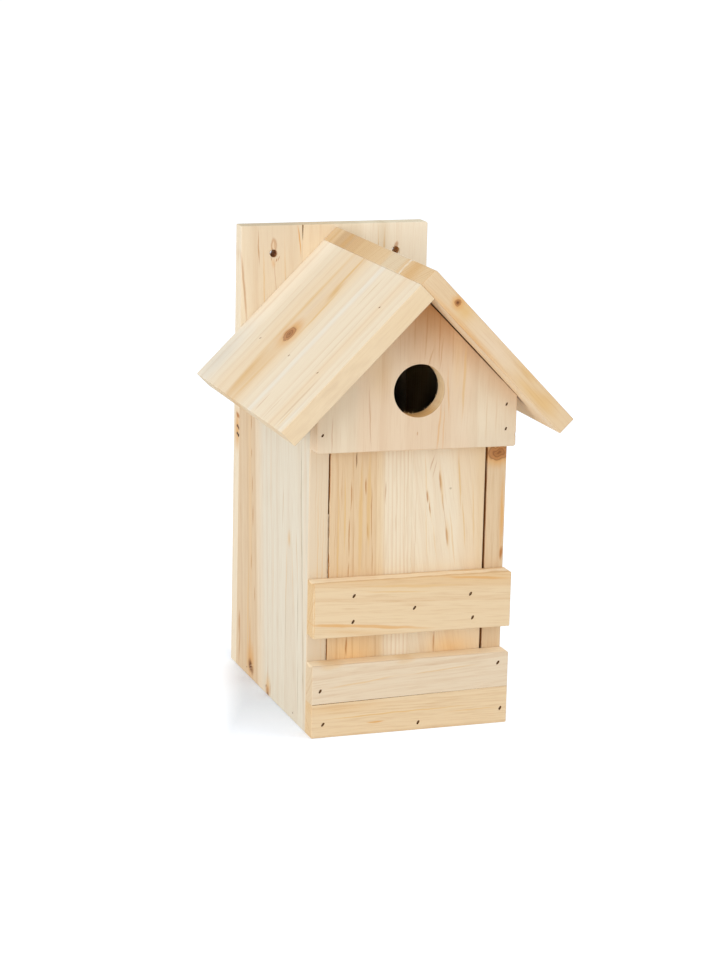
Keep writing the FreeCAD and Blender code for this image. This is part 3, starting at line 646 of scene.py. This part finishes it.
def round_arrises(piece, width):
    """Rounded edges, as sanding and handling leave them."""
    pick(piece)
    arris = piece.modifiers.new("arris", "BEVEL")
    arris.width = width * MM
    arris.segments = 2
    arris.limit_method = "ANGLE"
    arris.angle_limit = math.radians(25)
    bpy.ops.object.modifier_apply(modifier=arris.name)


def cut(piece, tool):
    """Take the tool's shape out of a piece. The cut keeps the tool's material."""
    pick(piece)
    cutter = piece.modifiers.new("cut", "BOOLEAN")
    cutter.object = tool
    cutter.operation = "DIFFERENCE"
    cutter.solver = "MANIFOLD"
    cutter.material_mode = "TRANSFER"
    bpy.ops.object.modifier_apply(modifier=cutter.name)


def another(shape, place, turn):
    """Copy of a shape with its own mesh, turned and set at a place."""
    copy = shape.copy()
    copy.data = shape.data.copy()
    bpy.context.scene.collection.objects.link(copy)
    copy.matrix_world = Matrix.Translation(place) @ turn.to_4x4()
    pick(copy)
    bpy.ops.object.transform_apply(location=True, rotation=True, scale=True)
    return copy


def resized(piece, size):
    """Shape made wider, deeper and taller in its mesh."""
    pick(piece)
    bpy.ops.object.mode_set(mode="EDIT")
    bpy.ops.mesh.select_all(action="SELECT")
    bpy.ops.transform.resize(value=size)
    bpy.ops.object.mode_set(mode="OBJECT")


def roughened(piece, reach, cuts=1):
    """Edges divided and pushed out of true, as torn wood is."""
    pick(piece)
    bpy.ops.object.mode_set(mode="EDIT")
    bpy.ops.mesh.select_all(action="SELECT")
    if cuts:
        bpy.ops.mesh.subdivide(number_cuts=cuts)
    bpy.ops.transform.vertex_random(offset=reach * MM, seed=random.randrange(1000))
    bpy.ops.object.mode_set(mode="OBJECT")


def make_boards():
    """Every board in its own fir, with softly rounded arrises."""
    boards = {}
    for name, wood in WOODS.items():
        board = taken_from(name, f"{name}_board")
        round_arrises(board, BOARD_ARRIS)
        use(board, fir(f"{name}_fir", **wood))
        boards[name] = board
    return boards


def open_seam(boards, names, start, end, out, widths, bruised_and_shaded):
    """Thin groove where two glued staves don't quite meet, narrowing from its start to its end. It is lined
    with the dark fir: a glue line, darkened further as painted shade.
    """
    start, end, out = Vector(start), Vector(end), Vector(out)
    wide, narrow = widths
    bpy.ops.object.select_all(action="DESELECT")
    bpy.ops.mesh.primitive_cone_add(vertices=4, radius1=wide * MM / 2, radius2=narrow * MM / 2,
                                    depth=(end - start).length)
    groove = bpy.context.object
    run = (end - start).normalized()
    groove.data.transform(Matrix.Translation((start + end) / 2)
                          @ Matrix((out, run.cross(out), run)).transposed().to_4x4())
    roughened(groove, 0.05, 3)
    use(groove, bruised_and_shaded)
    for name in names:
        cut(boards[name], groove)
    bpy.data.objects.remove(groove)


def score_seams(boards, bruised_and_shaded):
    """The glue lines that show, in the base cleat and the back, darkened partly by painted shade."""
    low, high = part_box("base_cleat_lower_stave")
    left_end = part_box("base_cleat_upper_stave")[0].z
    open_seam(boards, ("base_cleat_lower_stave", "base_cleat_upper_stave"), (low.x, low.y, left_end),
              (high.x, low.y, high.z), (0, -1, 0), CLEAT_SEAM, bruised_and_shaded)
    low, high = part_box("back_left_stave")
    for y, out in ((low.y, -1), (high.y, 1)):
        open_seam(boards, ("back_left_stave", "back_right_stave"), (high.x, y, high.z),
                  (high.x, y, high.z - BACK_SEAM_OPEN * MM), (0, out, 0), BACK_SEAM, bruised_and_shaded)


def pit_shape():
    """Narrow oval pit, wider at its mouth, with its middle at the origin."""
    bpy.ops.object.select_all(action="DESELECT")
    bpy.ops.mesh.primitive_cone_add(vertices=18, radius1=0.38, radius2=0.62, depth=2.0)
    pit = bpy.context.object
    resized(pit, (PIT_LONG * MM, PIT_SHORT * MM, PIT_DEPTH * MM))
    return pit


def on_face(out, slant):
    """Turn that stands a shape's Z out of a face, its X slanting from upright to the right."""
    up = (Vector((0, 0, 1)) - out * out.z).normalized()
    right = up.cross(out)
    long = right * math.sin(math.radians(slant)) + up * math.cos(math.radians(slant))
    return Matrix((long, out.cross(long), out)).transposed()


def crown(nail, out):
    """How far out a brad's top lies, and the middle of that top."""
    top = max(v.co.dot(out) for v in nail.data.vertices)
    rim = [v.co for v in nail.data.vertices if v.co.dot(out) > top - 0.7 * MM]
    return top, sum(rim, Vector()) / len(rim)


def sink_brads(board, name, nails, out, scale, shape, bruised_and_shaded):
    """Pits in one board's face, lined with the dark fir that is partly painted shade, with the brads that end
    in that face set below it.
    """
    face = max(v.co.dot(out) for v in frame["nodes"][name].data.vertices)
    low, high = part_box(name)
    for nail in nails:
        top, middle = crown(nail, out)
        inside = all(low[i] - MM < middle[i] < high[i] + MM for i in range(3))
        if abs(top - face) > MM or not inside:
            continue
        mouth = middle + out * (face - middle.dot(out))
        slant = PIT_SLANT + random.uniform(-PIT_SWING, PIT_SWING)
        pit = another(shape, mouth, on_face(out, slant) * scale)
        roughened(pit, 0.12)
        use(pit, bruised_and_shaded)
        cut(board, pit)
        bpy.data.objects.remove(pit)
        nail.data.transform(Matrix.Translation(-out * BRAD_SINK * MM))


def drive_brads(boards, bruised_and_shaded, steel):
    """Brads set below the face of their boards, each at the bottom of a pit."""
    shape = pit_shape()
    for group in dict.fromkeys(row[1] for row in NAILED):
        nails = taken_from(group, f"{group}_driven")
        bpy.ops.object.mode_set(mode="EDIT")
        bpy.ops.mesh.select_all(action="SELECT")
        bpy.ops.mesh.separate(type="LOOSE")
        bpy.ops.object.mode_set(mode="OBJECT")
        loose = list(bpy.context.selected_objects)
        for name, own, out, scale in NAILED:
            if own == group:
                sink_brads(boards[name], name, loose, Vector(out), scale, shape, bruised_and_shaded)
        pick(nails, *loose)
        bpy.ops.object.join()
        round_arrises(nails, BRAD_ARRIS)
        use(nails, steel)
        stands_for(nails, group)
    bpy.data.objects.remove(shape)


def nick_shape():
    """Rough little egg, one millimetre each way from its middle, that chips are cut with."""
    bpy.ops.object.select_all(action="DESELECT")
    bpy.ops.mesh.primitive_ico_sphere_add(subdivisions=2, radius=MM)
    egg = bpy.context.object
    roughened(egg, 0.12, 0)
    return egg


def nick(board, shape, place, size, run=(0, 0, 1)):
    """Chip taken out of a board at a place, its long way along the run."""
    turn = Vector(run).to_track_quat("Z", "Y").to_matrix() @ Matrix.Diagonal(size)
    egg = another(shape, Vector(place), turn)
    use(egg, board.data.materials[0])
    cut(board, egg)
    bpy.data.objects.remove(egg)


def wear_arris(board, shape, start, end, count, deep, long):
    """Arris worn unevenly from one point to another."""
    start, end = Vector(start), Vector(end)
    for i in range(count):
        place = start.lerp(end, (i + random.uniform(0.1, 0.9)) / count)
        wide = deep * random.uniform(0.6, 1.2)
        nick(board, shape, place, (wide, wide, long * random.uniform(0.4, 0.7)), end - start)


def wear_boards(boards):
    """Chipped corners and edges, and torn rims of the screw holes."""
    shape = nick_shape()
    for name, end, foot, top, count, deep, long in WORN:
        low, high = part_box(name)
        x = low.x if end == "left" else high.x
        start = (x, low.y, low.z + foot * MM)
        stop = (x, low.y, high.z if top is None else low.z + top * MM)
        wear_arris(boards[name], shape, start, stop, count, deep, long)
    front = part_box("back_left_stave")[0].y / MM
    for name, across in (("back_left_stave", -SCREW_ACROSS), ("back_right_stave", SCREW_ACROSS)):
        middle = Vector((across, front, SCREW_HEIGHT))
        for angle in SCREW_CHIPPED:
            angle = math.radians(angle + random.uniform(-15, 15))
            rim = middle + Vector((math.cos(angle), 0, math.sin(angle))) * SCREW_RADIUS
            nick(boards[name], shape, rim * MM, (0.7, 0.8, random.uniform(0.8, 1.4)))
    bpy.data.objects.remove(shape)


def splinters(board, middle, radius, angles):
    """Torn fibres that a drill or a hole saw left round the back of a hole, joined to its board."""
    bpy.ops.object.select_all(action="DESELECT")
    bpy.ops.mesh.primitive_cone_add(vertices=5, radius1=SPLINTER_ROOT * MM, radius2=SPLINTER_TIP * MM,
                                    depth=SPLINTER_LONG * MM)
    splinter = bpy.context.object
    roughened(splinter, 0.1, 1)
    torn = []
    for angle in angles:
        angle = math.radians(angle + random.uniform(-2, 2))
        inward = Vector((-math.cos(angle), 0, -math.sin(angle)))
        aim = inward + Vector((random.uniform(-0.3, 0.3), random.uniform(-0.3, 0.1),
                               random.uniform(-0.1, 0.4)))
        stretch = Matrix.Diagonal((random.uniform(0.7, 1.3), 0.6, random.uniform(0.6, 1.2)))
        turn = aim.to_track_quat("Z", "Y").to_matrix() @ stretch
        place = Vector(middle) - inward * (radius - 0.3) - Vector((0, random.uniform(1.0, 1.4), 0))
        torn.append(another(splinter, place * MM, turn))
    for piece in torn:
        use(piece, board.data.materials[0])
    bpy.data.objects.remove(splinter)
    pick(board, *torn)
    bpy.ops.object.join()


def tear_holes(boards):
    """Splinters behind the entrance and the wall screws' holes."""
    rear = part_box("gable_front")[1].y / MM
    splinters(boards["gable_front"], (ENTRANCE_ACROSS, rear, ENTRANCE_HEIGHT), ENTRANCE_RADIUS, ENTRANCE_TORN)
    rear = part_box("back_left_stave")[1].y / MM
    for name, across, torn in (("back_left_stave", -SCREW_ACROSS, LEFT_SCREW_TORN),
                               ("back_right_stave", SCREW_ACROSS, RIGHT_SCREW_TORN)):
        splinters(boards[name], (across, rear, SCREW_HEIGHT), SCREW_RADIUS, torn)


def raise_grain(board):
    """Fuzzy strip of raised fibres on the left side's inner edge, which narrows the gap beside the door."""
    low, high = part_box("left_side")
    bpy.ops.object.select_all(action="DESELECT")
    bpy.ops.mesh.primitive_cube_add(size=MM)
    strip = bpy.context.object
    resized(strip, RAISED_SIZE)
    roughened(strip, 0.16, 40)
    strip.data.transform(Matrix.Translation(Vector((high.x, low.y, low.z)) + RAISED_PLACE * MM))
    use(strip, board.data.materials[0])
    pick(board, strip)
    bpy.ops.object.join()


def finish_boards(boards):
    """Smooth curves, sharp corners, and each board in its node's place."""
    for name, board in boards.items():
        pick(board)
        bpy.ops.object.mode_set(mode="EDIT")
        bpy.ops.mesh.select_all(action="SELECT")
        bpy.ops.mesh.quads_convert_to_tris(quad_method="BEAUTY", ngon_method="BEAUTY")
        bpy.ops.mesh.beautify_fill(angle_limit=math.radians(JOIN_ANGLE))
        bpy.ops.mesh.dissolve_degenerate(threshold=SAME_POINT * MM)
        bpy.ops.object.mode_set(mode="OBJECT")
        bpy.ops.object.shade_smooth_by_angle(angle=math.radians(35))
        flat = board.modifiers.new("flat", "WEIGHTED_NORMAL")
        flat.keep_sharp = True
        bpy.ops.object.modifier_apply(modifier=flat.name)
        stands_for(board, name)


def mottled(tree, size, detail, first, second):
    """Two tones in specks of a size in millimetres, each tone with its place on the noise between them."""
    where = node(tree, "ShaderNodeTexCoord").outputs["Object"]
    noise = node(tree, "ShaderNodeTexNoise", {"Vector": where, "Scale": 1 / (size * MM), "Detail": detail})
    ramp = node(tree, "ShaderNodeValToRGB", {"Fac": noise.outputs["Fac"]})
    for stop, (at, tone) in zip(ramp.color_ramp.elements, (first, second)):
        stop.position = at
        stop.color = linear(tone)
    return noise.outputs["Fac"], ramp.outputs["Color"]


def crushed_fir():
    """Fir crushed by the nail gun and stained by the brads: dark, dull and torn. Its darkness is also painted
    shade, so that the pits and the seams' grooves read as shadow.
    """
    material, tree, shader = new_material("crushed_fir")
    torn, colour = mottled(tree, 0.6, 3.0, (0.35, "#573515"), (0.75, "#A97A44"))
    tree.links.new(colour, shader.inputs["Base Color"])
    bump = node(tree, "ShaderNodeBump", {"Height": torn, "Strength": 0.5, "Distance": 0.2 * MM})
    tree.links.new(bump.outputs[0], shader.inputs["Normal"])
    shader.inputs["Roughness"].default_value = 0.85
    shader.inputs["Specular IOR Level"].default_value = 0.1
    return material


def brad_steel():
    """Drawn steel wire, dull, with brown bloom: a dark glint at the bottom of each pit."""
    material, tree, shader = new_material("brad_steel")
    _, colour = mottled(tree, 0.8, 2.0, (0.4, "#84694E"), (0.65, "#5E4630"))
    tree.links.new(colour, shader.inputs["Base Color"])
    shader.inputs["Metallic"].default_value = 0.7
    shader.inputs["Roughness"].default_value = 0.45
    return material


# Lamps: name, place in metres, width in metres, watts
LAMPS = [
    ("left_front_softbox", (-1.98, -1.43, 0.55), 1.1, 19.0),
    ("right_softbox", (1.3, -0.9, 1.9), 0.9, 6.0),
]
LAMP_AIM = Vector((0, 0, 0.15))
ROOM_LIGHT = 0.79

# Band of floor beside the box's left foot that shines less for the camera: painted shadow laid over the box's
# real shadow there. Its place and turn, and from where to where it fades out aside, ahead and behind, in
# millimetres and degrees
SHADOW_PLACE, SHADOW_TURN = Vector((-53.3, 34.9, 0)), -16.5
SHADOW_ASIDE, SHADOW_AHEAD, SHADOW_BEHIND = (15.0, 37.0), (-40.0, -150.0), (55.0, 85.0)
# How much the paper shines for the camera, in the band of painted shadow and clear of it
PAPER_SHINE = (0.08, 0.4)
PAPER, PAPER_SEEN = "#F6F6F7", "#EAF1FB"


def seen_rays(tree):
    """One for rays from the camera, also by way of gloss and glass."""
    path = node(tree, "ShaderNodeLightPath").outputs
    seen = node(tree, "ShaderNodeMath", {0: path["Is Camera Ray"], 1: path["Is Glossy Ray"]},
                operation="MAXIMUM")
    return node(tree, "ShaderNodeMath", {0: seen.outputs[0], 1: path["Is Transmission Ray"]},
                operation="MAXIMUM").outputs[0]


def white_paper():
    """Matt white paper. It shines for the camera up to the white behind it, but less in a band beside the
    box, a painted shadow over the box's real one.
    """
    material, tree, _ = new_material("white_paper")
    tree.nodes.clear()
    seen = seen_rays(tree)
    paper = node(tree, "ShaderNodeBsdfDiffuse", {"Color": tint(tree, linear(PAPER), seen, PAPER_SEEN)})
    band = node(tree, "ShaderNodeMapping",
                {"Vector": node(tree, "ShaderNodeTexCoord").outputs["Object"], "Location": SHADOW_PLACE * MM,
                 "Rotation": (0, 0, math.radians(SHADOW_TURN)), "Scale": (MM, MM, 1)}, vector_type="TEXTURE")
    band = node(tree, "ShaderNodeSeparateXYZ", {0: band.outputs[0]}).outputs
    aside = node(tree, "ShaderNodeMath", {0: band["X"]}, operation="ABSOLUTE").outputs[0]
    shine = 0.0
    for distance, (near, far), curve in ((aside, SHADOW_ASIDE, "SMOOTHSTEP"),
                                         (band["Y"], SHADOW_AHEAD, "LINEAR"),
                                         (band["Y"], SHADOW_BEHIND, "LINEAR")):
        clear = node(tree, "ShaderNodeMapRange",
                     {"Value": distance, "From Min": near, "From Max": far, "To Min": PAPER_SHINE[0],
                      "To Max": PAPER_SHINE[1]}, interpolation_type=curve).outputs[0]
        shine = node(tree, "ShaderNodeMath", {0: clear, 1: shine}, operation="MAXIMUM").outputs[0]
    shine = node(tree, "ShaderNodeMath", {0: seen, 1: shine}, operation="MULTIPLY").outputs[0]
    glow = node(tree, "ShaderNodeEmission", {"Strength": shine})
    both = node(tree, "ShaderNodeAddShader", {0: paper.outputs[0], 1: glow.outputs[0]})
    node(tree, "ShaderNodeOutputMaterial", {"Surface": both.outputs[0]})
    return material


def stage():
    """White paper floor, soft light all round and two softboxes."""
    bpy.ops.object.select_all(action="DESELECT")
    bpy.ops.mesh.primitive_plane_add(size=30.0)
    floor = bpy.context.object
    floor.name = "paper_floor"
    use(floor, white_paper())

    world = bpy.data.worlds.new("studio")
    bpy.context.scene.world = world
    world.use_nodes = True
    tree = world.node_tree
    tree.nodes.clear()
    light = node(tree, "ShaderNodeBackground", {"Color": linear("#FFFFFF"), "Strength": ROOM_LIGHT})
    white = node(tree, "ShaderNodeBackground", {"Color": linear("#FFFFFF"), "Strength": 1.0})
    mix = node(tree, "ShaderNodeMixShader", {0: seen_rays(tree), 1: light.outputs[0], 2: white.outputs[0]})
    node(tree, "ShaderNodeOutputWorld", {"Surface": mix.outputs[0]})

    for name, place, size, energy in LAMPS:
        lamp = bpy.data.lights.new(name, "AREA")
        lamp.size = size
        lamp.energy = energy
        holder = bpy.data.objects.new(name, lamp)
        bpy.context.scene.collection.objects.link(holder)
        holder.location = place
        holder.rotation_euler = (LAMP_AIM - holder.location).to_track_quat("-Z", "Y").to_euler()


def camera():
    """The photograph's view."""
    lens = bpy.data.cameras.new("camera")
    lens.lens = CAMERA_LENS
    lens.sensor_width = 36.0
    holder = bpy.data.objects.new("camera", lens)
    bpy.context.scene.collection.objects.link(holder)
    holder.location = Vector(CAMERA_PLACE) * MM
    aim = (Vector(CAMERA_AIM) - Vector(CAMERA_PLACE)).to_track_quat("-Z", "Y").to_matrix()
    holder.rotation_euler = (aim @ Matrix.Rotation(math.radians(CAMERA_ROLL), 3, "Z")).to_euler()
    bpy.context.scene.camera = holder


boards = make_boards()
# Dark fir for pits and seams: crushed and stained wood, and painted shade as well
bruised_and_shaded = crushed_fir()
score_seams(boards, bruised_and_shaded)
drive_brads(boards, bruised_and_shaded, brad_steel())
wear_boards(boards)
tear_holes(boards)
raise_grain(boards["left_side"])
finish_boards(boards)
stage()
camera()
bpy.context.scene.view_settings.view_transform = "Standard"
